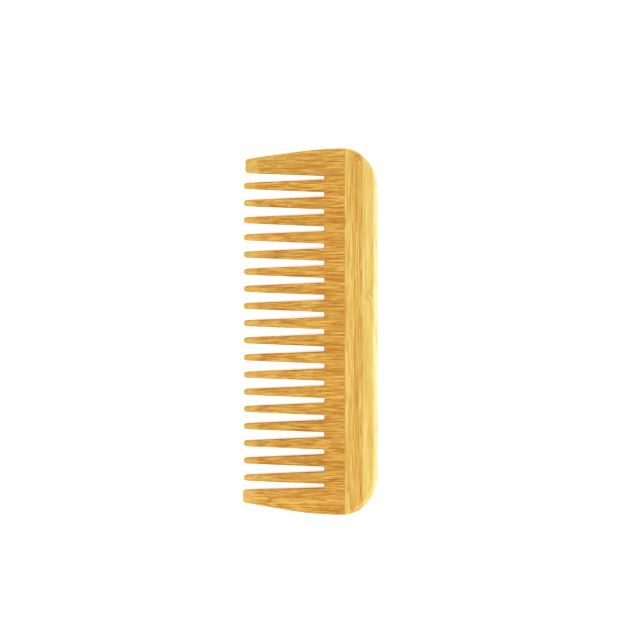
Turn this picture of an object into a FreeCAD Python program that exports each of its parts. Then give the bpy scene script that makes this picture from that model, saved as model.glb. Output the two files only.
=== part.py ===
import os

import FreeCAD
import Part
import Sketcher
from FreeCAD import Placement, Rotation, Vector

# A wide tooth comb of glued bamboo strips, lying on its broad face.
# Every tooth is a stave of its own with its grain along the tooth, and the staves stand side by
# side along a spine of two strips whose grain runs along the comb. A tongue on the end of each
# stave is glued into a groove in the spine.
#
# Frame, in millimetres: +X from the tooth tips to the back of the spine, +Y along the comb, +Z
# through its thickness. The origin is the middle of the comb's box, on the face it lies on.

DIMENSIONS = {
    "comb_length": 150.0,
    "comb_depth": 55.6,
    "comb_thickness": 6.0,
    # Spine: two strips, a round-over on its back and ends, and corners of two tangent arcs.
    "spine_outer_width": 6.6,
    "spine_inner_width": 7.2,
    "corner_length": 17.0,
    "corner_side_radius": 19.0,
    "back_round": 2.6,
    "end_round": 0.6,
    # Joint between the blade and the spine.
    "tongue_length": 4.0,
    "tongue_thickness": 2.0,
    # Blade: the web behind the slots, and the slots' pitch.
    "web_depth": 8.4,
    "tooth_pitch": 7.03,
    "tooth_length": 33.05,
    "tooth_root_width": 4.98,
    "tooth_tip_width": 2.5,
    "tip_corner": 1.1,
    "slot_corner": 0.55,
    "rim_round": 0.6,
    # Thickness of the blade: it thins from just behind the slots, and again where the tips are
    # ground. The drops are the depth taken off each face: ground_drop where the grinding starts,
    # tip_drop at the front of the blank, which stands SPARE beyond the comb.
    "taper_start": 1.6,
    "ground_length": 5.3,
    "ground_drop": 0.8,
    "tip_drop": 2.4,
    # Guard teeth at the two ends.
    "guard_strip_width": 8.5,
    "guard_strip_start": 14.0,
    "guard_blank_width": 28.0,
    "guard_slot_half": 0.65,
    "guard_corner": 1.3,
    "guard_arc_radius": 140.0,
    "upper_guard_reach": -0.65,
    "upper_guard_inner": 10.0,
    "upper_guard_outer": 4.25,
    "lower_guard_reach": 0.35,
    "lower_guard_inner": 10.4,
    "lower_guard_outer": 5.05,
}

TOOTH_COUNT = 18
# How far a cut or a blank runs past the finished shape, and the tolerance for comparing places.
SPARE = 2.0
SAME = 1e-4
# First guesses for what a sketch's tangent arcs then settle. How far an arc bows from its chord,
# as a fraction of the chord, negative to the right of travel:
THINNING_BOW = -0.008
GROUND_BOW = -0.05
GUARD_BOW = -0.04
CORNER_BOW = -0.1
# The front end of a guard tooth's arc, as fractions of its radius, and the place where the two
# arcs of a spine corner meet, as fractions of the spine's depth and of the corner's length:
GUARD_ARC_RUN = 0.15
GUARD_ARC_FALL = 0.011
CORNER_JOIN_DEPTH = 0.55
CORNER_JOIN_FALL = 0.17

doc = FreeCAD.newDocument("wide_tooth_comb")
dims = doc.addObject("Spreadsheet::Sheet", "Dims")
for row, (alias, value) in enumerate(DIMENSIONS.items(), start=1):
    dims.set(f"A{row}", alias)
    dims.set(f"B{row}", str(value))
    dims.setAlias(f"B{row}", alias)
doc.recompute()

# Stations, as expressions of the sheet. Along X: the back, the joint between the two spine
# strips, the glue line between spine and blade, the bottom of the slots, the tooth tips, the end
# of the tongues, where the blade starts to thin, where the tips are ground, and clear of the
# tips. Along Y: the comb's end, the last slot's middle and the joint within a guard tooth.
BACK = "Dims.comb_depth / 2"
SPINE_SPLIT = f"({BACK} - Dims.spine_outer_width)"
GLUE_LINE = f"({SPINE_SPLIT} - Dims.spine_inner_width)"
SLOT_ROOT = f"({GLUE_LINE} - Dims.web_depth)"
TOOTH_TIP = f"({SLOT_ROOT} - Dims.tooth_length)"
TONGUE_END = f"({GLUE_LINE} + Dims.tongue_length)"
PAST_TONGUE = f"({TONGUE_END} + {SPARE})"
TONGUE_LOW = "(Dims.comb_thickness - Dims.tongue_thickness) / 2"
TONGUE_HIGH = "(Dims.comb_thickness + Dims.tongue_thickness) / 2"
END = "Dims.comb_length / 2"
OUTER_SLOT = f"(Dims.tooth_pitch * {TOOTH_COUNT} / 2)"
GUARD_SPLIT = f"({OUTER_SLOT} + Dims.guard_strip_width)"
GUARD_START = f"({TOOTH_TIP} + Dims.guard_strip_start)"
PAST_END = f"({END} + {SPARE})"
THINNING = f"({SLOT_ROOT} + Dims.taper_start)"
GROUND = f"({TOOTH_TIP} + Dims.ground_length)"
FRONT = f"(-{BACK} - {SPARE})"
CUT_DEPTH = "Dims.comb_thickness * 3"


def size(expression):
    """The value of an expression of the sheet."""
    return float(dims.evalExpression(expression))


def plane_of(body, role):
    """One of a body's own origin planes."""
    return next(item for item in body.Origin.OriginFeatures if item.Role == role)


def outline(body, role, name, corners, arcs=None, smooth=(), free=(), radii=None):
    """A closed sketch through the corners, each a pair of sheet expressions.

    Side i runs from corner i to corner i + 1. A side in arcs is a circular arc, given as its
    height over its chord, left of travel; the two sides at a smooth corner are tangent there,
    a free corner's place follows from its tangent arcs, and radii fixes an arc's radius.
    """
    sketch = body.newObject("Sketcher::SketchObject", name)
    sketch.AttachmentSupport = [(plane_of(body, role), "")]
    sketch.MapMode = "FlatFace"
    arcs = arcs or {}
    points = [Vector(size(x), size(y), 0) for x, y in corners]
    ends = points[1:] + points[:1]
    for side, (start, end) in enumerate(zip(points, ends)):
        if side in arcs:
            across = Vector(start.y - end.y, end.x - start.x, 0) * arcs[side]
            sketch.addGeometry(Part.ArcOfCircle(start, (start + end) / 2 + across, end))
        else:
            sketch.addGeometry(Part.LineSegment(start, end))

    def vertex(side, place):
        """The number of a side's vertex at a place: an arc may store its ends either way round."""
        return min((1, 2), key=lambda end: sketch.getPoint(side, end).distanceToPoint(place))

    for side, place in enumerate(points):
        before = (side - 1) % len(points)
        kind = "Tangent" if side in smooth else "Coincident"
        here = vertex(side, place)
        sketch.addConstraint(Sketcher.Constraint(kind, before, vertex(before, place), side, here))
        if side in free:
            continue
        for kind, expression in zip(("DistanceX", "DistanceY"), corners[side]):
            fixed = Sketcher.Constraint(kind, -1, 1, side, here, size(expression))
            number = sketch.addConstraint(fixed)
            sketch.setExpression(f"Constraints[{number}]", expression)
    for side, expression in (radii or {}).items():
        number = sketch.addConstraint(Sketcher.Constraint("Radius", side, size(expression)))
        sketch.setExpression(f"Constraints[{number}]", expression)
    return sketch


def extrude(body, kind, name, sketch, length, side="Symmetric"):
    """A Pad or Pocket of a sketch, to both sides of the sketch's plane or to one."""
    feature = body.newObject("PartDesign::" + kind, name)
    feature.Profile = sketch
    feature.SideType = side
    feature.setExpression("Length", length)
    doc.recompute()
    return feature


def cut_checked(body, name, sketch, length):
    """A Pocket that must take material away."""
    before = body.Shape.Volume
    pocket = extrude(body, "Pocket", name, sketch, length)
    if not body.Shape.Volume < before - SAME:
        raise RuntimeError(f"{name} cuts nothing")
    return pocket


def round_edges(body, name, radius, chosen):
    """A Fillet on those edges of the body's present shape that chosen accepts."""
    base = body.Tip
    names = [f"Edge{i}" for i, edge in enumerate(base.Shape.Edges, start=1) if chosen(edge)]
    fillet = body.newObject("PartDesign::Fillet", name)
    fillet.Base = (base, names)
    fillet.setExpression("Radius", radius)
    doc.recompute()
    return fillet


def upright(edge, x, y):
    """Whether an edge stands along Z at a place."""
    return all(abs(end.X - x) < SAME and abs(end.Y - y) < SAME for end in edge.Vertexes)


def is_rim(edge, half_width):
    """Whether an edge is the border between a broad face of the blade and a sawn wall.

    Not the upright edges, the tongue, the creases across the blade, or the faces at
    half_width that the blank was padded to.
    """
    ends = edge.Vertexes
    stands = abs(ends[0].Z - ends[-1].Z) > size("Dims.comb_thickness") / 4
    on_tongue = max(end.X for end in ends) > size(GLUE_LINE) + SAME
    crease = any(
        all(abs(end.X - size(station)) < SAME for end in ends)
        for station in (GLUE_LINE, THINNING, GROUND))
    on_side = all(abs(abs(end.Y) - half_width) < SAME for end in ends)
    return not (stands or on_tongue or crease or on_side)


def blade_stock(body, width):
    """The blade's side profile, padded: tongue, web, thinning tooth and ground tip."""
    high = "Dims.comb_thickness"
    corners = [
        (THINNING, "0"),
        (GLUE_LINE, "0"),
        (GLUE_LINE, TONGUE_LOW),
        (TONGUE_END, TONGUE_LOW),
        (TONGUE_END, TONGUE_HIGH),
        (GLUE_LINE, TONGUE_HIGH),
        (GLUE_LINE, high),
        (THINNING, high),
        (GROUND, f"{high} - Dims.ground_drop"),
        (FRONT, f"{high} - Dims.tip_drop"),
        (FRONT, "Dims.tip_drop"),
        (GROUND, "Dims.ground_drop"),
    ]
    # The long thinning arc and the ground tip's arc, on each face.
    arcs = {7: THINNING_BOW, 8: GROUND_BOW, 10: GROUND_BOW, 11: THINNING_BOW}
    profile = outline(
        body, "XZ_Plane", body.Name + "_side", corners, arcs=arcs, smooth=(0, 7, 8, 11))
    return extrude(body, "Pad", body.Name + "_stock", profile, width)


def round_blade(body, half_width, slot_corners, tip_corners, tip_radius):
    """Rounds the slot's corners, the tip's corners and then the rims of a sawn blade piece."""
    for name, radius, places in (
        ("_slot_corners", "Dims.slot_corner", slot_corners),
        ("_tip_corners", tip_radius, tip_corners),
    ):
        spots = [(size(x), size(y)) for x, y in places]
        round_edges(body, body.Name + name, radius,
                    lambda edge: any(upright(edge, *spot) for spot in spots))
    round_edges(body, body.Name + "_rims", "Dims.rim_round",
                lambda edge: is_rim(edge, half_width))


def tooth_stave(number):
    """One narrow tooth with its share of the web and its tongue; stave 1 is at the +Y end."""
    name = f"tooth_{number:02d}"
    body = doc.addObject("PartDesign::Body", name)
    blade_stock(body, "Dims.tooth_pitch")
    root = "Dims.tooth_root_width / 2"
    tip = "Dims.tooth_tip_width / 2"
    side = f"(Dims.tooth_pitch / 2 + {SPARE})"
    slot_corners = [(SLOT_ROOT, root), (SLOT_ROOT, f"-{root}")]
    tip_corners = [(TOOTH_TIP, tip), (TOOTH_TIP, f"-{tip}")]
    corners = [
        (SLOT_ROOT, side),
        slot_corners[0],
        tip_corners[0],
        tip_corners[1],
        slot_corners[1],
        (SLOT_ROOT, f"-{side}"),
        (f"{FRONT} - {SPARE}", f"-{side}"),
        (f"{FRONT} - {SPARE}", side),
    ]
    plan = outline(body, "XY_Plane", name + "_plan", corners)
    cut_checked(body, name + "_slots", plan, CUT_DEPTH)
    round_blade(body, size("Dims.tooth_pitch / 2"), slot_corners, tip_corners, "Dims.tip_corner")
    steps = (TOOTH_COUNT + 1) / 2 - number
    body.setExpression("Placement.Base.y", f"Dims.tooth_pitch * {steps}")
    return body


def guard_blank(name, reach, inner, outer):
    """A wide guard tooth before it is divided into strips, drawn with the comb's end at y = 0.

    Its tip reaches past the narrow teeth by reach, between inner and outer from the comb's
    end; its outer edge is a straight line from the tip, then an arc up to the spine.
    """
    body = doc.addObject("PartDesign::Body", name)
    width = "Dims.guard_blank_width"
    blade_stock(body, width)
    tip = f"({TOOTH_TIP} - {reach})"
    side = f"({width} / 2 + {SPARE})"
    arc = "Dims.guard_arc_radius"
    slot_corners = [(SLOT_ROOT, f"{OUTER_SLOT} + Dims.guard_slot_half - {END}")]
    tip_corners = [(tip, f"-{outer}"), (tip, f"-{inner}")]
    corners = [
        (PAST_TONGUE, "0"),
        (GLUE_LINE, "0"),
        (f"{GLUE_LINE} - {arc} * {GUARD_ARC_RUN}", f"-{arc} * {GUARD_ARC_FALL}"),
        tip_corners[0],
        tip_corners[1],
        slot_corners[0],
        (SLOT_ROOT, f"-{side}"),
        (f"{FRONT} - {SPARE}", f"-{side}"),
        (f"{FRONT} - {SPARE}", side),
        (PAST_TONGUE, side),
    ]
    plan = outline(
        body, "XY_Plane", name + "_plan", corners, arcs={1: GUARD_BOW}, smooth=(1, 2), free=(2,),
        radii={1: arc})
    cut_checked(body, name + "_outline", plan, CUT_DEPTH)
    half_width = size(f"{width} / 2")
    round_blade(body, half_width, slot_corners, tip_corners, "Dims.guard_corner")
    return body


def spine_blank():
    """The whole spine, grooved and rounded, before it is divided into its two strips."""
    body = doc.addObject("PartDesign::Body", "spine_stock")
    front = f"({GLUE_LINE} - {SPARE})"
    straight = f"({END} - Dims.corner_length)"
    join_x = f"({GLUE_LINE} + ({BACK} - {GLUE_LINE}) * {CORNER_JOIN_DEPTH})"
    join_y = f"({END} - Dims.corner_length * {CORNER_JOIN_FALL})"
    corners = [
        (front, f"-{END}"),
        (GLUE_LINE, f"-{END}"),
        (join_x, f"-{join_y}"),
        (BACK, f"-{straight}"),
        (BACK, straight),
        (join_x, join_y),
        (GLUE_LINE, END),
        (front, END),
    ]
    plan = outline(
        body, "XY_Plane", "spine_plan", corners, arcs=dict.fromkeys((1, 2, 4, 5), CORNER_BOW),
        smooth=(1, 2, 3, 4, 5, 6), free=(2, 5),
        radii=dict.fromkeys((2, 4), "Dims.corner_side_radius"))
    extrude(body, "Pad", "spine_pad", plan, "Dims.comb_thickness", side="One side")
    groove = outline(
        body, "XZ_Plane", "spine_groove_section",
        [(f"{front} - {SPARE}", TONGUE_LOW), (TONGUE_END, TONGUE_LOW),
         (TONGUE_END, TONGUE_HIGH), (f"{front} - {SPARE}", TONGUE_HIGH)])
    cut_checked(body, "spine_groove", groove, f"{GUARD_SPLIT} * 2")
    return body


def spine_rounding(blank):
    """The round-over of the spine's rims: small at the glue line, full along the back."""
    small, full = size("Dims.end_round"), size("Dims.back_round")
    front, glue = size(f"{GLUE_LINE} - {SPARE}"), size(GLUE_LINE)
    faces = (0.0, size("Dims.comb_thickness"))
    rims = []
    for number, edge in enumerate(blank.Shape.Edges, start=1):
        ends = edge.Vertexes
        on_face = any(all(abs(end.Z - height) < SAME for end in ends) for height in faces)
        at_front = all(abs(end.X - front) < SAME for end in ends)
        if on_face and not at_front:
            radii = [small if end.X < glue + SAME else full for end in (ends[0], ends[-1])]
            rims.append((number, *radii))
    rounded = doc.addObject("Part::Fillet", "spine_rounded")
    rounded.Base = blank
    rounded.Edges = rims
    doc.recompute()
    return rounded


def slab(name, x_range, y_range):
    """A block through the comb's whole thickness, between two stations along X and along Y."""
    block = doc.addObject("Part::Box", name)
    block.setExpression("Length", f"{x_range[1]} - {x_range[0]}")
    block.setExpression("Width", f"{y_range[1]} - {y_range[0]}")
    block.setExpression("Height", f"Dims.comb_thickness + {SPARE} * 2")
    block.setExpression("Placement.Base.x", x_range[0])
    block.setExpression("Placement.Base.y", y_range[0])
    block.setExpression("Placement.Base.z", f"-{SPARE}")
    return block


def combine(kind, name, base, tool):
    """A boolean of two objects: Common keeps what they share, Cut takes the tool away."""
    result = doc.addObject("Part::" + kind, name)
    result.Base = base
    result.Tool = tool
    return result


def strip(name, blank, x_range, y_range):
    """The strip of a blank that lies between two stations along X and two along Y."""
    return combine("Common", name, blank, slab(name + "_slab", x_range, y_range))


def guard_strips(name, blank, side):
    """The two strips of a guard tooth; side is 1 at the +Y end and -1 at the -Y end.

    The outer strip runs out against the shaped edge, and it starts where it is still wide
    enough to hold glue. The inner strip has the whole tip and the tongue.
    """
    def along(low, high):
        return (low, high) if side > 0 else (f"-{high}", f"-{low}")

    whole = strip(name + "_sawn", blank, (FRONT, TONGUE_END), along(OUTER_SLOT, PAST_END))
    beyond = slab(name + "_beyond", (GUARD_START, PAST_TONGUE), along(GUARD_SPLIT, PAST_END))
    inner = combine("Cut", name + "_inner", whole, beyond)
    outer = strip(name + "_outer", blank, (GUARD_START, GLUE_LINE), along(GUARD_SPLIT, PAST_END))
    return [inner, outer]


pieces = [tooth_stave(number) for number in range(1, TOOTH_COUNT + 1)]

upper_guard = guard_blank(
    "upper_guard", "Dims.upper_guard_reach", "Dims.upper_guard_inner", "Dims.upper_guard_outer")
upper_guard.setExpression("Placement.Base.y", END)
lower_guard = guard_blank(
    "lower_guard", "Dims.lower_guard_reach", "Dims.lower_guard_inner", "Dims.lower_guard_outer")
# The lower guard tooth is drawn like the upper one and turned over about the comb's long edge.
lower_guard.Placement = Placement(Vector(0, 0, 0), Rotation(Vector(1, 0, 0), 180))
lower_guard.setExpression("Placement.Base.y", f"-{END}")
lower_guard.setExpression("Placement.Base.z", "Dims.comb_thickness")
pieces += guard_strips("upper_guard", upper_guard, 1)
pieces += guard_strips("lower_guard", lower_guard, -1)

spine = spine_rounding(spine_blank())
whole_length = (f"-{PAST_END}", PAST_END)
pieces += [
    strip("spine_inner_strip", spine, (GLUE_LINE, SPINE_SPLIT), whole_length),
    strip("spine_outer_strip", spine, (SPINE_SPLIT, f"({BACK} + {SPARE})"), whole_length),
]
doc.recompute()

for item in doc.Objects:
    if "Invalid" in item.State or "Error" in item.State:
        raise RuntimeError(f"{item.Name} did not build: {item.State}")
for piece in pieces:
    piece.Label = piece.Name
    if piece.Shape.isNull() or not piece.Shape.isValid() or len(piece.Shape.Solids) != 1:
        raise RuntimeError(f"{piece.Label} is not one valid solid")

os.makedirs("parts", exist_ok=True)
for piece in pieces:
    piece.Shape.exportStep(f"parts/{piece.Label}.step")
    print(piece.Label, round(piece.Shape.Volume, 2), piece.Shape.BoundBox)
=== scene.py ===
"""The looks of a wide tooth comb made of glued bamboo strips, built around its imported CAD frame.

Lengths inside the shape functions are millimetres; meshes are scaled to metres as they are made.
"""
import math
import random

import bmesh
import bpy
import numpy as np
from mathutils import Matrix, Vector, noise


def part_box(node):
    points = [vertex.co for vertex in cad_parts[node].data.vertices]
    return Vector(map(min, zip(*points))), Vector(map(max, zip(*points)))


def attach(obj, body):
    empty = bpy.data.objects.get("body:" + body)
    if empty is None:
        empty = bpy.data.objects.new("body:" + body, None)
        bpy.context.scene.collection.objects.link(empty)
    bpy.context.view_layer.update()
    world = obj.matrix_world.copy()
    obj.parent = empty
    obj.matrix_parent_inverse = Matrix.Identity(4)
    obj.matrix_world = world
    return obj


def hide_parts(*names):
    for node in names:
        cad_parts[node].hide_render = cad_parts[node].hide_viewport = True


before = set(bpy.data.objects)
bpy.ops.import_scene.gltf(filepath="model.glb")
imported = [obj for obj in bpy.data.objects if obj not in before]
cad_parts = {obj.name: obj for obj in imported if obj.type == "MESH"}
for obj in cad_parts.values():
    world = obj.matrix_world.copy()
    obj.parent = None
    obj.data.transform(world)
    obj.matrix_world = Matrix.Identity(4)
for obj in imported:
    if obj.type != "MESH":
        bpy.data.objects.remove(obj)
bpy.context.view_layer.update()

MM = 0.001


def box_mm(node):
    """A CAD node's lowest and highest corners, in millimetres."""
    return [[value / MM for value in corner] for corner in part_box(node)]


# Stations read from the frame. Along X: tooth tips, glue line between blade and spine, joint
# between the spine's strips, back. Along Y: a tooth's pitch, the comb's end, and for the guard
# teeth the middle of the last slot and the joint between their two strips.
(GLUE, _, _), (SPLIT, END, THICK) = box_mm("spine_inner_strip")
BACK = box_mm("spine_outer_strip")[1][0]
TIP = box_mm("tooth_01")[0][0]
TONGUE_END = box_mm("tooth_01")[1][0]
PITCH = box_mm("tooth_01")[1][1] - box_mm("tooth_01")[0][1]
LAST_SLOT = box_mm("upper_guard_inner")[0][1]
GUARD_SPLIT = box_mm("upper_guard_outer")[0][1]
TOOTH_NODES = sorted(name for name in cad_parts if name.startswith("tooth_"))
MID = THICK / 2

# The blade's plan: depth of the web behind the slots, and half widths of a tooth.
WEB_DEPTH = 8.4
ROOT = GLUE - WEB_DEPTH
HALF_ROOT = 2.49
HALF_TIP = 1.25
TIP_ROUND = 1.1
SLOT_ROUND = 0.55
# The guard teeth's plan: where the inner edge meets the slot, the tip's rounding, the radius of
# the outer edge, and how far from the comb's end each guard's inner and outer edges are at its tip.
GUARD_ROOT = LAST_SLOT + 0.65
GUARD_TIP_ROUND = 1.3
GUARD_ARC = 140.0
GUARD_TIPS = {"upper_guard": (10.0, 4.25), "lower_guard": (10.4, 5.05)}
# The blade's side profile: where the teeth start to thin, where their ground tips start, how much
# half the thickness has fallen there, and how it falls faster on the ground tips.
THINNING = ROOT + 1.6
GROUND = TIP + 5.3
GROUND_DROP = 0.8
GROUND_SLOPE = 2 * GROUND_DROP / (THINNING - GROUND)
GROUND_CURVE = 0.0202
# The spine's corners: two tangent arcs from the end to the back, over a length along the comb.
CORNER_LENGTH = 17.0
CORNER_SIDE_RADIUS = 19.0
# Roundings of the rims. The blade's grow over a run on the ground tips. The spine's start to grow
# a little ahead of the glue line. On a narrow strip the rims take a limited share of the width.
BLADE_RIM = 0.6
TIP_RIM = 1.0
TIP_RIM_RUN = 5.0
SPINE_END_RIM = 0.6
SPINE_BACK_RIM = 2.6
SPINE_RIM_LEAD = 1.0
SPINE_RIM_RUN = 6.5
RIM_SHARE = 0.8
# Steps across a rim, around a tooth's corner and down the wall. The wall has three bands, and the
# middle one becomes the tongue or the groove.
RIM_STEPS = 6
ARC_STEPS = 7
WALL_STEPS = 3
# Points along a tooth's shaft, across the web, along an outline's straight run beside the web,
# from a web's corner to its glue plane, around a spine corner and along the back.
SHAFT_POINTS = 62
WEB_POINTS = 17
RUN_POINTS = 40
MARGIN_POINTS = 3
CORNER_POINTS = 27
BACK_POINTS = 100
# Columns between the rims of a narrow tooth, of a guard tooth and of the spine.
TOOTH_COLUMNS = 14
GUARD_COLUMNS = 26
SPINE_COLUMNS = 34
# The slot's hollow corner starts a little after its tangent point, as an angle in radians.
HOLLOW_START = 0.04
# An outline that goes on past the glue line runs on this far, and a slot's bottom edge ends this
# far beyond the glue plane, so neither end is rounded.
RUN_ON = 4.0
BEYOND_SEAM = 1.0
# Points this close are one point, planes this close are one plane, a face whose normal has at
# least this share along X looks along X, faces that meet at more than this angle look sharp, and
# a squared length is never taken as less than the last number.
SAME_POINT = 0.0004
SAME_PLANE = 0.01
SQUARE_ON = 0.99
SHARP_ANGLE = math.radians(38)
NO_LENGTH = 1e-12
# The surface's unevenness: depth, waves per millimetre along the grain, across it and upright,
# the distance from the middle plane over which it grows, and where each strip's pattern starts.
RELIEF = 0.03
RELIEF_ALONG = 0.05
RELIEF_ACROSS = 0.45
RELIEF_UPRIGHT = 0.6
RELIEF_GROWTH = 1.5
RELIEF_START = (7.3, 3.1, 5.7)
# Half widths over which the colour of the guards' inner and outer strips shades.
GUARD_INNER_HALF = 4.3
GUARD_OUTER_HALF = 1.6
# Every strip has its own number, from which its grain and its unevenness start: the tooth staves
# from 1, the guards' strips around one number and the spine's from another.
GUARD_SEED = 20
SPINE_SEED = 30


def smooth_step(value):
    """0 below 0, 1 above 1, and a smooth ramp between."""
    value = np.clip(value, 0.0, 1.0)
    return value * value * (3 - 2 * value)


def half_thickness(x):
    """Half the comb's thickness at a station along X."""
    along = np.clip((THINNING - x) / (THINNING - GROUND), 0.0, 1.0)
    past = np.clip(GROUND - x, 0.0, None)
    return MID - GROUND_DROP * along ** 2 - GROUND_SLOPE * past - GROUND_CURVE * past ** 2


def blade_rim(x):
    """Radius of the blade's softened rims: larger on the ground tips."""
    return BLADE_RIM + (TIP_RIM - BLADE_RIM) * smooth_step((GROUND - x) / TIP_RIM_RUN)


def spine_rim(x):
    """Radius of the spine's round-over: small at the glue line, full soon behind it."""
    grown = smooth_step((x - GLUE + SPINE_RIM_LEAD) / SPINE_RIM_RUN)
    return SPINE_END_RIM + (SPINE_BACK_RIM - SPINE_END_RIM) * grown


def side_edge(x, tip, y_tip, slope, tip_round, slot_round=0.0):
    """Upper outline of a tooth: rounded tip corner, straight side, hollow corner at the slot."""
    x = np.asarray(x, float)
    lean = math.hypot(1, slope)
    y = y_tip + slope * (x - tip)
    centre = y_tip + slope * tip_round - tip_round * lean
    on_tip = x < tip + tip_round - tip_round * slope / lean
    dip = np.clip(tip_round ** 2 - (x - tip - tip_round) ** 2, 0, None)
    y = np.where(on_tip, centre + np.sqrt(dip), y)
    if slot_round:
        corner = ROOT - slot_round
        centre = y_tip + slope * (corner - tip) + slot_round * lean
        dip = np.clip(slot_round ** 2 - (x - corner) ** 2, 0, None)
        y = np.where(x > corner + slot_round * slope / lean, centre - np.sqrt(dip), y)
    return y


def guard_outer_edge(x, tip, y_tip):
    """Outer outline of a guard: straight from the tip, then an arc up to the spine."""
    x = np.asarray(x, float)
    from_tip = Vector((tip - GLUE, y_tip - (END - GUARD_ARC)))
    turn = math.atan2(from_tip.y, from_tip.x) - math.acos(GUARD_ARC / from_tip.length)
    touch_x = GLUE + GUARD_ARC * math.cos(turn)
    touch_y = END - GUARD_ARC + GUARD_ARC * math.sin(turn)
    slope = (touch_y - y_tip) / (touch_x - tip)
    line = side_edge(x, tip, y_tip, slope, GUARD_TIP_ROUND)
    arc = END - GUARD_ARC + np.sqrt(GUARD_ARC ** 2 - np.clip(x - GLUE, None, 0) ** 2)
    return np.where(x < touch_x, line, arc)


def spine_edge(y):
    """X of the spine's outer outline at a station along Y."""
    y = np.abs(np.asarray(y, float))
    depth = BACK - GLUE
    side = CORNER_SIDE_RADIUS
    end = (2 * depth * side - depth ** 2 - CORNER_LENGTH ** 2) / (2 * side - 2 * CORNER_LENGTH)
    low = Vector((BACK - side, END - CORNER_LENGTH))
    high = Vector((GLUE, END - end))
    join = low + (high - low).normalized() * side
    side_arc = low.x + np.sqrt(np.clip(side ** 2 - (y - low.y) ** 2, 0, None))
    end_arc = high.x + np.sqrt(np.clip(end ** 2 - (y - high.y) ** 2, 0, None))
    return np.where(y < low.y, BACK, np.where(y < join.y, side_arc, end_arc))


def rim_steps(radius, steps=RIM_STEPS):
    """Distances from an edge that draw its rounding evenly."""
    return radius * (1 - np.cos(np.linspace(0, math.pi / 2, steps + 1)))


def spread(low, high, low_rim, high_rim, inner):
    """Columns from low to high: close together on a rounded rim and even between."""
    width = high - low
    total = low_rim + high_rim
    scale = min(1.0, RIM_SHARE * width / total) if total else 1.0
    left = low + rim_steps(low_rim) * scale if low_rim else np.array([low])
    right = high - rim_steps(high_rim)[::-1] * scale if high_rim else np.array([high])
    middle = np.linspace(left[-1], right[0], inner + 1)[1:-1]
    return np.concatenate([left, middle, right])


def distance_to(outline, points):
    """Distance of each point from a polyline."""
    start, end = outline[:-1], outline[1:]
    span = end - start
    length = np.maximum((span ** 2).sum(1), NO_LENGTH)
    best = np.full(len(points), np.inf)
    for a, d, n in zip(start, span, length):
        t = np.clip(((points - a) @ d) / n, 0, 1)
        best = np.minimum(best, np.hypot(*(points - a - t[:, None] * d).T))
    return best


def add_grid(bm, rows, height):
    """A patch of quads through rows of (x, y) points, raised to height(points)."""
    count = len(rows[0])
    flat = np.concatenate(rows)
    z = height(flat)
    verts = [bm.verts.new((x, y, level)) for (x, y), level in zip(flat, z)]
    for row in range(len(rows) - 1):
        for column in range(count - 1):
            here = row * count + column
            corners = (here, here + 1, here + count + 1, here + count)
            bm.faces.new([verts[i] for i in corners])


def close_shell(bm):
    """Turns an upper sheet into a closed solid: its mirror image below, and a wall around."""
    bmesh.ops.remove_doubles(bm, verts=bm.verts, dist=SAME_POINT)
    bmesh.ops.dissolve_degenerate(bm, edges=bm.edges, dist=SAME_POINT)
    rim = [edge for edge in bm.edges if edge.is_boundary]
    copy = bmesh.ops.duplicate(bm, geom=bm.verts[:] + bm.edges[:] + bm.faces[:])
    twin = copy["vert_map"]
    for item in copy["geom"]:
        if isinstance(item, bmesh.types.BMVert):
            item.co.z = 2 * MID - item.co.z
    columns = {}
    for edge in rim:
        for vert in edge.verts:
            if vert in columns:
                continue
            below = twin[vert]
            steps = [vert.co.lerp(below.co, step / WALL_STEPS) for step in range(1, WALL_STEPS)]
            columns[vert] = [vert] + [bm.verts.new(place) for place in steps] + [below]
    for edge in rim:
        one, two = (columns[vert] for vert in edge.verts)
        for step in range(WALL_STEPS):
            bm.faces.new((one[step], two[step], two[step + 1], one[step + 1]))
    bmesh.ops.recalc_face_normals(bm, faces=bm.faces)


def blade_rows(x_values, low_edge, high_edge, inner):
    """Rows of points across a tooth between its two outlines."""
    rows = []
    for x, low, high in zip(x_values, low_edge(x_values), high_edge(x_values)):
        rim = float(blade_rim(x))
        y = spread(low, high, rim, rim, inner)
        rows.append(np.stack([np.full(len(y), x), y], 1))
    return rows


def tooth_stations(tip, tip_round):
    """Stations along a tooth: close on the tip's rounding and on the slot's hollow corner."""
    nose = tip + rim_steps(tip_round, ARC_STEPS)
    turn = np.linspace(HOLLOW_START, math.pi / 2, ARC_STEPS)
    corner = ROOT - SLOT_ROUND + SLOT_ROUND * np.sin(turn)
    shaft = np.linspace(nose[-1], corner[0], SHAFT_POINTS)[1:-1]
    return np.concatenate([nose, shaft, corner])


def web_stations():
    """Stations across the web, from the bottom of the slots to the glue line."""
    rim = ROOT + rim_steps(BLADE_RIM)
    return np.concatenate([rim, np.linspace(rim[-1], GLUE, WEB_POINTS)[1:]])


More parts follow.
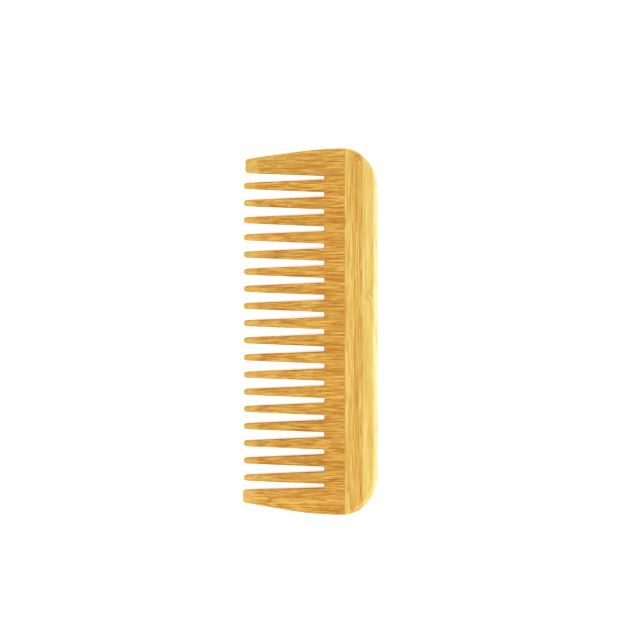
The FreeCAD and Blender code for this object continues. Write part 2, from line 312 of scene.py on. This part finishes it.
def blade_sheet(bm, tip, tip_round, low_edge, high_edge, low_side, high_side, inner):
    """The upper face of a tooth and its web.

    low_side and high_side are the glue planes beside the web; high_side is None where the tooth's
    own edge runs on past the slots. inner is the number of columns between the rims.
    """
    stations = tooth_stations(tip, tip_round)
    run = np.linspace(ROOT, GLUE + RUN_ON, RUN_POINTS)[1:]
    fine = np.concatenate([stations, run])

    def side_line(edge, side):
        if side is None:
            return np.stack([fine, edge(fine)], 1)
        past = math.copysign(BEYOND_SEAM, side - float(edge(np.array([ROOT]))[0]))
        line = np.stack([stations, edge(stations)], 1)
        return np.concatenate([line, [[ROOT, side + past]]])

    outline = np.concatenate([side_line(low_edge, low_side)[::-1],
                              side_line(high_edge, high_side)])

    def height(points):
        rim = blade_rim(points[:, 0])
        inside = np.clip(rim - distance_to(outline, points), 0, None)
        return MID + half_thickness(points[:, 0]) - rim + np.sqrt(rim ** 2 - inside ** 2)

    rows = blade_rows(stations, low_edge, high_edge, inner)
    add_grid(bm, rows, height)
    seat = rows[-1][:, 1]
    web = []
    for x in web_stations():
        y = seat
        after = []
        if high_side is None:
            y = seat[0] + (seat - seat[0]) * (float(high_edge(x)) - seat[0]) / (seat[-1] - seat[0])
        else:
            after = np.linspace(y[-1], high_side, MARGIN_POINTS)[1:]
        before = np.linspace(low_side, y[0], MARGIN_POINTS)[:-1]
        y = np.concatenate([before, y, after])
        web.append(np.stack([np.full(len(y), x), y], 1))
    add_grid(bm, web, height)


def tooth_shell(centre):
    """A narrow tooth stave around its own middle line."""
    slope = (HALF_ROOT - HALF_TIP) / (ROOT - TIP)

    def high_edge(x):
        return centre + side_edge(x, TIP, HALF_TIP, slope, TIP_ROUND, SLOT_ROUND)

    def low_edge(x):
        return 2 * centre - high_edge(x)

    bm = bmesh.new()
    blade_sheet(bm, TIP, TIP_ROUND, low_edge, high_edge, centre - PITCH / 2, centre + PITCH / 2,
                TOOTH_COLUMNS)
    close_shell(bm)
    return bm


def guard_shell(name):
    """A whole guard tooth at the +Y end, before it is divided into its two strips."""
    tip = box_mm(name + "_inner")[0][0]
    inner, outer = (END - value for value in GUARD_TIPS[name])
    slope = (inner - GUARD_ROOT) / (ROOT - tip)

    def low_edge(x):
        return -side_edge(x, tip, -inner, slope, GUARD_TIP_ROUND, SLOT_ROUND)

    def high_edge(x):
        return guard_outer_edge(x, tip, outer)

    bm = bmesh.new()
    blade_sheet(bm, tip, GUARD_TIP_ROUND, low_edge, high_edge, LAST_SLOT, None, GUARD_COLUMNS)
    close_shell(bm)
    return bm


def spine_shell():
    """The whole spine before it is divided into its two strips."""
    turn = np.linspace(math.pi / 2, 0, CORNER_POINTS)
    corner = END - CORNER_LENGTH + CORNER_LENGTH * np.sin(turn)
    straight = np.linspace(corner[-1], -corner[-1], BACK_POINTS)[1:-1]
    stations = np.concatenate([corner, straight, -corner[::-1]])
    edge = np.stack([spine_edge(stations), stations], 1)
    outline = np.concatenate([[[GLUE - RUN_ON, END]], edge, [[GLUE - RUN_ON, -END]]])

    def height(points):
        rim = spine_rim(points[:, 0])
        inside = np.clip(rim - distance_to(outline, points), 0, None)
        return THICK - rim + np.sqrt(rim ** 2 - inside ** 2)

    rows = []
    for y, x_edge in zip(stations, spine_edge(stations)):
        x = spread(GLUE, x_edge, 0, SPINE_BACK_RIM, SPINE_COLUMNS)
        rows.append(np.stack([x, np.full(len(x), y)], 1))
    bm = bmesh.new()
    add_grid(bm, rows, height)
    close_shell(bm)
    return bm


def keep_side(bm, place, normal):
    """Cuts a solid with a plane, keeps the side that the normal points away from, and caps it."""
    cut = bmesh.ops.bisect_plane(
        bm, geom=bm.verts[:] + bm.edges[:] + bm.faces[:], plane_co=place, plane_no=normal,
        dist=SAME_POINT, clear_outer=True)
    edges = [item for item in cut["geom_cut"] if isinstance(item, bmesh.types.BMEdge)]
    bmesh.ops.contextual_create(bm, geom=edges)
    bmesh.ops.recalc_face_normals(bm, faces=bm.faces)


def pull_band(bm, y_limit=None):
    """Pushes the middle band of the wall at the glue line along X: a tongue or a groove.

    y_limit is the groove's end on either side; None takes the whole width.
    """
    band = []
    for face in bm.faces:
        middle = face.calc_center_median()
        level = abs(middle.z - MID) < THICK / (2 * WALL_STEPS) - SAME_PLANE
        in_wall = abs(face.normal.x) > SQUARE_ON and abs(middle.x - GLUE) < SAME_PLANE
        if level and in_wall:
            if y_limit is None or abs(middle.y) < y_limit:
                band.append(face)
    pulled = bmesh.ops.extrude_face_region(bm, geom=band)
    moved = [item for item in pulled["geom"] if isinstance(item, bmesh.types.BMVert)]
    bmesh.ops.translate(bm, verts=moved, vec=(TONGUE_END - GLUE, 0, 0))
    bmesh.ops.delete(bm, geom=band, context="FACES")
    bmesh.ops.recalc_face_normals(bm, faces=bm.faces)


def make_piece(bm, name, node, material):
    """Turns a shape into a piece of the comb that stands for a CAD node."""
    for edge in bm.edges:
        edge.smooth = len(edge.link_faces) == 2 and edge.calc_face_angle() < SHARP_ANGLE
    for face in bm.faces:
        face.smooth = True
    bmesh.ops.scale(bm, vec=(MM, MM, MM), verts=bm.verts)
    mesh = bpy.data.meshes.new(name)
    bm.to_mesh(mesh)
    bm.free()
    piece = bpy.data.objects.new(name, mesh)
    bpy.context.scene.collection.objects.link(piece)
    mesh.materials.append(material)
    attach(piece, "root")
    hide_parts(node)


def add_relief(bm, along, seed):
    """Sinks the surface slightly, in long soft waves that follow the grain."""
    flat = (RELIEF_ALONG, RELIEF_ACROSS) if along == "X" else (RELIEF_ACROSS, RELIEF_ALONG)
    stretch = Vector((*flat, RELIEF_UPRIGHT))
    start = Vector([seed * shift for shift in RELIEF_START])
    for vert in bm.verts:
        level = vert.co.z - MID
        wave = 0.5 + 0.5 * noise.noise(vert.co * stretch + start)
        vert.co.z -= math.copysign(RELIEF, level) * wave * min(1.0, abs(level) / RELIEF_GROWTH)


def add_node(tree, kind, settings=None, **inputs):
    """Adds a shader node; each input is a plain value or another node's output.

    An input is named by its label, with _ for a space, or by n and its number.
    """
    node = tree.nodes.new("ShaderNode" + kind)
    for key, value in (settings or {}).items():
        setattr(node, key, value)
    for key, value in inputs.items():
        numbered = key[0] == "n" and key[1:].isdigit()
        socket = node.inputs[int(key[1:]) if numbered else key.replace("_", " ")]
        if isinstance(value, bpy.types.NodeSocket):
            tree.links.new(value, socket)
        else:
            socket.default_value = value
    return node


def calculate(tree, operation, one, two=0.0, three=0.0):
    """The output of one Math node."""
    node = add_node(tree, "Math", {"operation": operation}, n0=one, n1=two, n2=three)
    return node.outputs[0]


def calculate_vector(tree, operation, one, two):
    """The output of one Vector Math node."""
    node = add_node(tree, "VectorMath", {"operation": operation}, n0=one, n1=two)
    return node.outputs["Value" if operation == "DISTANCE" else "Vector"]


def ramp_between(tree, value, low, high):
    """0 where the value is at low, 1 where it is at high, with a smooth ramp between."""
    node = add_node(tree, "MapRange", {"interpolation_type": "SMOOTHSTEP"},
                    Value=value, From_Min=low, From_Max=high)
    return node.outputs["Result"]


def blend(tree, factor, one, two):
    """Mixes a colour output with a plain (red, green, blue) colour."""
    node = add_node(tree, "Mix", {"data_type": "RGBA"}, n0=factor, n6=one, n7=(*two, 1.0))
    return node.outputs[2]


def colour_ramp(tree, value, stops):
    """A colour ramp through stops of (place, colour) or (place, grey)."""
    node = add_node(tree, "ValToRGB", None, Fac=value)
    elements = node.color_ramp.elements
    while len(elements) < len(stops):
        elements.new(0.5)
    for element, (place, shade) in zip(elements, stops):
        element.position = place
        element.color = (*(shade if isinstance(shade, tuple) else (shade,) * 3), 1.0)
    return node.outputs["Color"]


# Bamboo's marks. Sizes are in millimetres; where the blade's grain (along X) and the spine's
# (along Y) differ, they are given for each axis. The grain starts elsewhere in each strip, and
# wanders sideways by up to about half of WANDER, in bends of BEND_SIZE. FIBRE_HEIGHT is the upright
# squeeze of all marks, relative to their width.
GRAIN_START = (41.7, 23.9, 11.3)
WANDER = 1.7
BEND_SIZE = {"X": (17, 9, 9), "Y": (9, 26, 9)}
BAND_LENGTH, BAND_WIDTH = 60.0, 2.4
STREAK_LENGTH, STREAK_WIDTH = {"X": 13.0, "Y": 30.0}, 0.47
FIBRE_LENGTH, FIBRE_WIDTH = {"X": 6.0, "Y": 14.0}, 0.22
BUNDLE_LENGTH, BUNDLE_WIDTH = 10.0, 0.44
FIBRE_HEIGHT = 0.8
# Levels of noise in most marks, in streaks and in bundles, and the share of each finer level.
DETAIL, STREAK_DETAIL, BUNDLE_DETAIL = 2.0, 3.0, 1.0
NOISE_ROUGHNESS = 0.6
# A noise value at which a dark bundle starts, and one at which it is full.
BUNDLE_EDGE = (0.55, 0.64)
# How strongly each mark shifts the wood's tone, and how strongly bundles stain it.
BAND_TONE, STREAK_TONE, FIBRE_TONE = 0.5, 2.0, 1.5
BUNDLE_STAIN = 0.55
# Tones that show the darkest, middle and palest shades, and the stain's share of the darkest.
TONE_STOPS = (0.12, 0.5, 0.9)
STAIN_SHARE = (0.96, 0.80, 0.60)
# Ground tips, paler partly as freshly ground wood and partly as a painted sheen where they slope,
# with ends paler still, partly a painted highlight on their rounding: how ragged and how wide the
# edge of the grinding is, how wide the paler end is, and how much paler each is.
GROUND_RAGGED, GROUND_EDGE, GROUND_PALE_AND_SHEEN = 3.0, 1.4, 0.45
END_WIDTH, END_PALE_AND_HIGHLIGHT = 1.6, 0.45
# A glue line: full within the first distance of its plane, gone at the second.
SEAM_EDGE = (0.03, 0.12)
SEAM_STAIN = 0.4
# A knot: how its distances are squeezed along X, Y and Z, and in radii, where the grain bends
# around it, how far it is pushed, and where the dark ring rises and falls.
KNOT_SQUEEZE = (1.0, 0.6, 0.3)
KNOT_REACH = (0.3, 2.6)
KNOT_PUSH = 1.5
RING_RISE, RING_FALL = (0.35, 0.7), (1.2, 0.7)
# The finish: roughness and what fibres and bundles add to it, the relief of the same marks, and
# the clear varnish, mostly worn off the blade and left on the spine.
ROUGH, ROUGH_FIBRE, ROUGH_BUNDLE = 0.44, 0.22, 0.1
RELIEF_STREAK, RELIEF_FIBRE, RELIEF_BUNDLE = 0.9, 0.8, -0.35
BUMP_STRENGTH, BUMP_DEPTH = 0.7, 0.05
BLADE_VARNISH, SPINE_VARNISH = 0.05, 0.8


def fibres(tree, place, along, length, width, detail=DETAIL):
    """Noise stretched along the grain: length and width are one fibre's, in millimetres."""
    lengthwise, sideways = 1 / length, 1 / width
    flat = (lengthwise, sideways) if along == "X" else (sideways, lengthwise)
    stretched = calculate_vector(tree, "MULTIPLY", place, (*flat, FIBRE_HEIGHT / width))
    texture = add_node(tree, "TexNoise", None, Vector=stretched, Scale=1.0, Detail=detail,
                       Roughness=NOISE_ROUGHNESS)
    return texture.outputs["Fac"]


def scaled(tree, value, gain):
    """A value times a gain."""
    return calculate(tree, "MULTIPLY", value, gain)


def centred(tree, value, gain):
    """A noise value moved to swing about zero, times a gain."""
    return scaled(tree, calculate(tree, "SUBTRACT", value, 0.5), gain)


def reverse(tree, value):
    """1 where the value is 0, and 0 where it is 1."""
    return calculate(tree, "SUBTRACT", 1.0, value)


def total(tree, *values):
    """The sum of several values."""
    result = values[0]
    for value in values[1:]:
        result = calculate(tree, "ADD", result, value)
    return result


def wandering(tree, place, along, seed, wander):
    """A strip's own part of the wood, bent a little so that its grain wanders sideways."""
    moved = calculate_vector(tree, "ADD", place, [seed * shift for shift in GRAIN_START])
    stretch = [1 / size for size in BEND_SIZE[along]]
    bend = add_node(tree, "TexNoise", None, Scale=1.0, Detail=DETAIL,
                    Vector=calculate_vector(tree, "MULTIPLY", moved, stretch))
    offset = calculate_vector(tree, "SUBTRACT", bend.outputs["Color"], (0.5, 0.5, 0.5))
    sideways = (0.0, wander, wander) if along == "X" else (wander, 0.0, wander)
    shift = calculate_vector(tree, "MULTIPLY", offset, sideways)
    return calculate_vector(tree, "ADD", moved, shift)


def add_knot(tree, place, moved, knot):
    """Pushes the grain aside around a knot; returns the moved place and the knot's dark ring."""
    knot_x, knot_y, radius, darkness = knot
    away = calculate_vector(tree, "SUBTRACT", place, (knot_x, knot_y, THICK))
    squeezed = calculate_vector(tree, "MULTIPLY", away, KNOT_SQUEEZE)
    distance = calculate_vector(tree, "DISTANCE", squeezed, (0.0, 0.0, 0.0))

    def between(stops):
        return ramp_between(tree, distance, radius * stops[0], radius * stops[1])

    near = reverse(tree, between(KNOT_REACH))
    push = add_node(tree, "CombineXYZ", None, X=scaled(tree, near, radius * KNOT_PUSH))
    ring = calculate(tree, "MULTIPLY", between(RING_RISE), between(RING_FALL))
    return calculate_vector(tree, "ADD", moved, push.outputs[0]), scaled(tree, ring, darkness)


def bamboo(name, along, seed, shades, profile, seams, contrast, wander=WANDER, tint=1.0,
           ground=None, knots=(), varnish=BLADE_VARNISH):
    """The material of one bamboo strip.

    along is the grain's axis, contrast the strength of its marks, and wander how far it strays
    sideways. shades are the wood's darkest, middle and palest colours, and tint multiplies them.
    profile gives how pale the wood is from the strip's low side to its high side: (millimetres,
    paleness) pairs across the grain. seams are the glue lines beside the strip, as (axis,
    millimetres). ground is the station where the teeth's ground tips end; they are paler, partly
    as ground wood and partly as a painted sheen. knots are (x, y, radius, darkness of the ring).
    varnish is how much of the clear finish is left.
    """
    material = bpy.data.materials.new(name)
    material.use_nodes = True
    tree = material.node_tree
    shader = tree.nodes["Principled BSDF"]

    # Where a point is in the comb, in millimetres, and in the strip's own wandering grain.
    local = add_node(tree, "TexCoord").outputs["Object"]
    place = calculate_vector(tree, "MULTIPLY", local, (1 / MM,) * 3)
    split = add_node(tree, "SeparateXYZ", None, Vector=place)
    x, y = split.outputs["X"], split.outputs["Y"]
    moved = wandering(tree, place, along, seed, wander)
    rings = []
    for knot in knots:
        moved, ring = add_knot(tree, place, moved, knot)
        rings.append(ring)

    # Bamboo's own marks, from broad bands down to single fibres and dark bundles.
    band = fibres(tree, moved, along, BAND_LENGTH, BAND_WIDTH)
    streak = fibres(tree, moved, along, STREAK_LENGTH[along], STREAK_WIDTH, STREAK_DETAIL)
    fibre = fibres(tree, moved, along, FIBRE_LENGTH[along], FIBRE_WIDTH)
    bundle = fibres(tree, moved, along, BUNDLE_LENGTH, BUNDLE_WIDTH, BUNDLE_DETAIL)
    dark_bundle = ramp_between(tree, bundle, *BUNDLE_EDGE)

    low, high = profile[0][0], profile[-1][0]
    fraction = add_node(tree, "MapRange", None, Value=y if along == "X" else x,
                        From_Min=low, From_Max=high)
    stops = [((station - low) / (high - low), pale) for station, pale in profile]
    tone = total(tree, colour_ramp(tree, fraction.outputs["Result"], stops),
                 centred(tree, band, BAND_TONE * contrast),
                 centred(tree, streak, STREAK_TONE * contrast),
                 centred(tree, fibre, FIBRE_TONE * contrast))
    tinted = [tuple(channel * tint for channel in shade) for shade in shades]
    darkest, palest = tinted[0], tinted[-1]
    stain = tuple(channel * share for channel, share in zip(darkest, STAIN_SHARE))
    colour = colour_ramp(tree, tone, list(zip(TONE_STOPS, tinted)))
    colour = blend(tree, scaled(tree, dark_bundle, BUNDLE_STAIN * contrast), colour, stain)
    for ring in rings:
        colour = blend(tree, ring, colour, stain)
    if ground is not None:
        # The ground tips are paler, partly as freshly ground wood and partly as a painted sheen
        # where they slope, with a slightly ragged edge; their ends are palest, partly a painted
        # highlight.
        station = total(tree, x, centred(tree, streak, GROUND_RAGGED))
        tip = ramp_between(tree, station, ground + GROUND_EDGE, ground - GROUND_EDGE)
        end = ramp_between(tree, x, TIP + END_WIDTH, TIP)
        pale = total(tree, scaled(tree, tip, GROUND_PALE_AND_SHEEN), scaled(tree, end, END_PALE_AND_HIGHLIGHT))
        colour = blend(tree, pale, colour, palest)
    for axis, station in seams:
        gap = calculate(tree, "SUBTRACT", {"X": x, "Y": y}[axis], station)
        line = reverse(tree, ramp_between(tree, calculate(tree, "ABSOLUTE", gap), *SEAM_EDGE))
        colour = blend(tree, scaled(tree, line, SEAM_STAIN), colour, stain)
    tree.links.new(colour, shader.inputs["Base Color"])

    # A thin oil finish: duller along open fibres, and a relief of the same fibres.
    rough = total(tree, ROUGH, centred(tree, fibre, ROUGH_FIBRE),
                  scaled(tree, dark_bundle, ROUGH_BUNDLE))
    tree.links.new(rough, shader.inputs["Roughness"])
    height = total(tree, centred(tree, streak, RELIEF_STREAK), centred(tree, fibre, RELIEF_FIBRE),
                   scaled(tree, dark_bundle, RELIEF_BUNDLE))
    bump = add_node(tree, "Bump", None, Height=height, Strength=BUMP_STRENGTH,
                    Distance=BUMP_DEPTH * MM)
    tree.links.new(bump.outputs["Normal"], shader.inputs["Normal"])
    shader.inputs["Specular IOR Level"].default_value = 0.2
    shader.inputs["Coat Weight"].default_value = varnish
    shader.inputs["Coat Roughness"].default_value = 0.25
    shader.inputs["Coat IOR"].default_value = 1.6
    return material


# Shades of the wood, darkest to palest: the blade, the upper guard and the spine's two strips.
BLADE_SHADES = ((0.50, 0.182, 0.014), (0.68, 0.34, 0.040), (0.84, 0.53, 0.105))
GUARD_SHADES = ((0.54, 0.222, 0.022), (0.72, 0.40, 0.056), (0.88, 0.60, 0.135))
INNER_SHADES = ((0.60, 0.280, 0.020), (0.80, 0.47, 0.072), (0.94, 0.68, 0.165))
# The outer strip's palest shade, taken by its back edge, is partly the skin's colour and partly a
# painted highlight.
OUTER_SHADES_WITH_HIGHLIGHT = ((0.72, 0.430, 0.048), (0.85, 0.58, 0.105), (0.96, 0.83, 0.440))
BLADE_CONTRAST, INNER_CONTRAST, OUTER_CONTRAST = 1.25, 1.0, 0.58
SPINE_WANDER = 0.7 * WANDER

# Strips of the blade differ by chance: how much paler one side is than the middle, how pale the
# middle is, the tint, and where the ground tips end, which are paler partly with a painted sheen.
CHANCE_SEED = 17
SIDE_PALE = 0.08
MIDDLE_PALE, MIDDLE_SPREAD = 0.5, 0.04
STRIP_TINT = (0.98, 1.04)
GROUND_SHIFT = 0.5
chance = random.Random(CHANCE_SEED)


def blade_material(name, centre, half, seed, seams, shades=BLADE_SHADES):
    """The material of a strip of the blade: its grain runs along the teeth."""
    tilt = chance.uniform(-SIDE_PALE, SIDE_PALE)
    pale = MIDDLE_PALE + chance.uniform(-MIDDLE_SPREAD, MIDDLE_SPREAD)
    profile = ((centre - half, pale - tilt), (centre, pale), (centre + half, pale + tilt))
    return bamboo(name, "X", seed, shades, profile, seams, BLADE_CONTRAST,
                  tint=chance.uniform(*STRIP_TINT),
                  ground=GROUND + chance.uniform(-GROUND_SHIFT, GROUND_SHIFT))


# Narrow teeth: one stave each, glued to the spine and to its neighbours.
glue_line = (("X", GLUE),)
for number, node in enumerate(TOOTH_NODES, start=1):
    low, high = box_mm(node)
    centre = (low[1] + high[1]) / 2
    bm = tooth_shell(centre)
    pull_band(bm)
    add_relief(bm, "X", number)
    sides = (("Y", low[1]), ("Y", high[1]))
    material = blade_material("bamboo_tooth_%02d" % number, centre, PITCH / 2, number,
                              glue_line + sides)
    make_piece(bm, "stave_%02d" % number, node, material)

# Guard teeth: both are drawn at the +Y end, and the lower one is turned over to the other end.
for name, side, shades in (("upper_guard", 1, GUARD_SHADES), ("lower_guard", -1, BLADE_SHADES)):
    for part in ("inner", "outer"):
        inner = part == "inner"
        bm = guard_shell(name)
        keep_side(bm, (0, GUARD_SPLIT, 0), (0, 1, 0) if inner else (0, -1, 0))
        if inner:
            pull_band(bm)
            middle, half = (LAST_SLOT + GUARD_SPLIT) / 2, GUARD_INNER_HALF
        else:
            middle, half = (GUARD_SPLIT + END) / 2, GUARD_OUTER_HALF
        if side < 0:
            turn = Matrix.Rotation(math.pi, 3, "X")
            bmesh.ops.rotate(bm, verts=bm.verts, cent=(0, 0, MID), matrix=turn)
        seed = GUARD_SEED + 2 * side + inner
        add_relief(bm, "X", seed)
        strip = "%s_%s" % (name, part)
        material = blade_material("bamboo_" + strip, side * middle, half, seed,
                                  glue_line + (("Y", side * GUARD_SPLIT),), shades)
        make_piece(bm, strip + "_strip", strip, material)

# Across the spine the inner strip darkens towards its joint, and the outer one ends in a pale band
# on its back edge, partly the bamboo's skin and partly a painted highlight of the round-over.
# Profiles are (millimetres, paleness); knots are (x, y, radius, darkness of the ring).
INNER_PROFILE = ((GLUE, 0.56), (GLUE + 2.0, 0.58), (GLUE + 3.6, 0.42), (GLUE + 5.2, 0.36),
                 (SPLIT, 0.48))
OUTER_PROFILE_WITH_HIGHLIGHT = ((SPLIT, 0.5), (BACK - 2.9, 0.5), (BACK - 1.4, 0.8), (BACK, 0.8))
INNER_KNOT = (SPLIT - 2.3, END - 3.9, 0.9, 1.0)
OUTER_KNOT = (SPLIT + 1.5, 0.2 * END, 1.1, 0.25)
for part, shades, profile, seams, knot, contrast in (
        ("inner", INNER_SHADES, INNER_PROFILE, (("X", GLUE), ("X", SPLIT)), INNER_KNOT,
         INNER_CONTRAST),
        ("outer", OUTER_SHADES_WITH_HIGHLIGHT, OUTER_PROFILE_WITH_HIGHLIGHT, (("X", SPLIT),), OUTER_KNOT, OUTER_CONTRAST)):
    inner = part == "inner"
    bm = spine_shell()
    keep_side(bm, (SPLIT, 0, 0), (1, 0, 0) if inner else (-1, 0, 0))
    if inner:
        pull_band(bm, GUARD_SPLIT)
    seed = SPINE_SEED + inner
    add_relief(bm, "Y", seed)
    material = bamboo("bamboo_spine_" + part, "Y", seed, shades, profile, seams, contrast,
                      wander=SPINE_WANDER, knots=(knot,), varnish=SPINE_VARNISH)
    make_piece(bm, "spine_" + part, "spine_%s_strip" % part, material)

# Floor: plain, nearly white, and faintly glowing like a light table so that the slots stay clear.
FLOOR_HALF = 1.5
floor_corners = [(FLOOR_HALF * across, FLOOR_HALF * along, 0)
                 for across, along in ((-1, -1), (1, -1), (1, 1), (-1, 1))]
floor_mesh = bpy.data.meshes.new("floor")
floor_mesh.from_pydata(floor_corners, [], [(0, 1, 2, 3)])
floor = bpy.data.objects.new("floor", floor_mesh)
bpy.context.scene.collection.objects.link(floor)
paper = bpy.data.materials.new("floor_paper")
paper.use_nodes = True
paper_shader = paper.node_tree.nodes["Principled BSDF"]
paper_shader.inputs["Base Color"].default_value = (0.9, 0.9, 0.9, 1.0)
paper_shader.inputs["Roughness"].default_value = 0.9
paper_shader.inputs["Specular IOR Level"].default_value = 0.0
paper_shader.inputs["Emission Color"].default_value = (1.0, 1.0, 1.0, 1.0)
paper_shader.inputs["Emission Strength"].default_value = 0.52
floor_mesh.materials.append(paper)

# The room: a soft even glow above, and white down at the horizon, where the floor ends. The band
# gives the upward part of the direction at which the white has faded, and at which it is full.
ROOM_GLOW = 0.36
HORIZON_BAND = (0.16, 0.08)
world = bpy.data.worlds.new("room")
world.use_nodes = True
sky = world.node_tree
way = add_node(sky, "TexCoord").outputs["Generated"]
rise = add_node(sky, "SeparateXYZ", None, Vector=way).outputs["Z"]
horizon = ramp_between(sky, rise, *HORIZON_BAND)
glow = calculate(sky, "MULTIPLY_ADD", horizon, 1 - ROOM_GLOW, ROOM_GLOW)
sky.links.new(glow, sky.nodes["Background"].inputs["Strength"])
sky.nodes["Background"].inputs["Color"].default_value = (1.0, 1.0, 1.0, 1.0)
bpy.context.scene.world = world


def aim(item, target):
    """Turns a light towards a place."""
    item.rotation_euler = (Vector(target) - item.location).to_track_quat("-Z", "Y").to_euler()


def add_soft_box(name, place, width, height, power):
    """A rectangular area light that faces the comb; metres and watts."""
    light = bpy.data.lights.new(name, "AREA")
    light.shape = "RECTANGLE"
    light.size = width
    light.size_y = height
    light.energy = power
    item = bpy.data.objects.new(name, light)
    item.location = place
    aim(item, (0, 0, 0))
    bpy.context.scene.collection.objects.link(item)


# Soft boxes: one overhead, one beyond the back, and a weak one beyond the lower back corner. The
# last two give the highlight on the spine's round-over.
add_soft_box("overhead", (-0.80, -0.26, 1.90), 0.26, 0.26, 17.8)
add_soft_box("side", (0.85, -0.12, 0.60), 0.85, 0.4, 4.6)
add_soft_box("corner", (0.55, -0.66, 0.62), 0.35, 0.3, 1.3)

# Camera: straight above the comb, far away with a long lens, the comb's middle a little left of
# and below the picture's middle.
CAMERA_HEIGHT = 1.3
VIEW_WIDTH = 0.2618
VIEW_MIDDLE = (3.85 * MM, 4.83 * MM)
camera_data = bpy.data.cameras.new("camera")
camera_data.lens = camera_data.sensor_width * (CAMERA_HEIGHT - THICK * MM) / VIEW_WIDTH
camera = bpy.data.objects.new("camera", camera_data)
camera.location = (*VIEW_MIDDLE, CAMERA_HEIGHT)
bpy.context.scene.collection.objects.link(camera)
bpy.context.scene.camera = camera
bpy.context.scene.view_settings.view_transform = "Standard"
